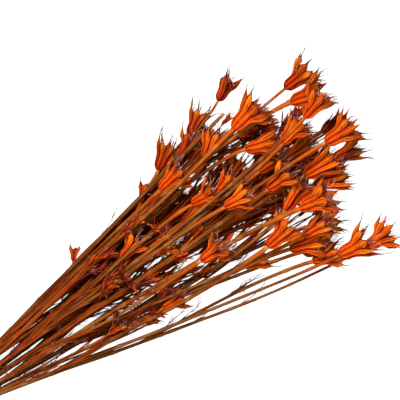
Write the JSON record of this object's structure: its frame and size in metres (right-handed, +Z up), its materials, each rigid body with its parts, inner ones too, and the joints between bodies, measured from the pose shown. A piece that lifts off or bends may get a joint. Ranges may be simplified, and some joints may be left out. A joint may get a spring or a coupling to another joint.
{
  "type": "dried nigella bunch",
  "caption": "Loose bunch of dried, pleated and flared seed heads on thin branching stems, gathered in a plain elastic band and lying flat on a surface.",
  "frame": {"origin": "middle of the flat underside of the elastic band, on the surface that the bunch lies on", "axes": "+X along the bunch from the cut ends towards the seed heads, +Y across the bunch, +Z up"},
  "size_m": [0.56, 0.2277, 0.1264],
  "materials": {
    "stem": "matt, dry, finely ribbed stem",
    "pod": "matt, dry, papery seed head, dyed orange",
    "band": "matt natural rubber"
  },
  "bodies": {
    "root": {"stem_01": "stem", "stem_02": "stem", "stem_03": "stem", "stem_04": "stem", "stem_05": "stem", "stem_06": "stem", "stem_07": "stem", "stem_08": "stem", "stem_09": "stem", "stem_10": "stem", "stem_11": "stem", "stem_12": "stem", "stem_13": "stem", "stem_14": "stem", "stem_15": "stem", "stem_16": "stem", "stem_17": "stem", "stem_18": "stem", "stem_19": "stem", "pod_01": "pod", "pod_02": "pod", "pod_03": "pod", "pod_04": "pod", "pod_05": "pod", "pod_06": "pod", "pod_07": "pod", "pod_08": "pod", "pod_09": "pod", "pod_10": "pod", "pod_11": "pod", "pod_12": "pod", "pod_13": "pod", "pod_14": "pod", "pod_15": "pod", "pod_16": "pod", "pod_17": "pod", "pod_18": "pod", "pod_19": "pod", "pod_20": "pod", "pod_21": "pod", "pod_22": "pod", "pod_23": "pod", "pod_24": "pod", "pod_25": "pod", "pod_26": "pod", "pod_27": "pod", "pod_28": "pod", "pod_29": "pod", "pod_30": "pod", "pod_31": "pod", "pod_32": "pod", "pod_33": "pod", "pod_34": "pod", "pod_35": "pod", "pod_36": "pod", "pod_37": "pod", "pod_38": "pod", "pod_39": "pod", "pod_40": "pod", "band": "band"}
  },
  "joints": []
}
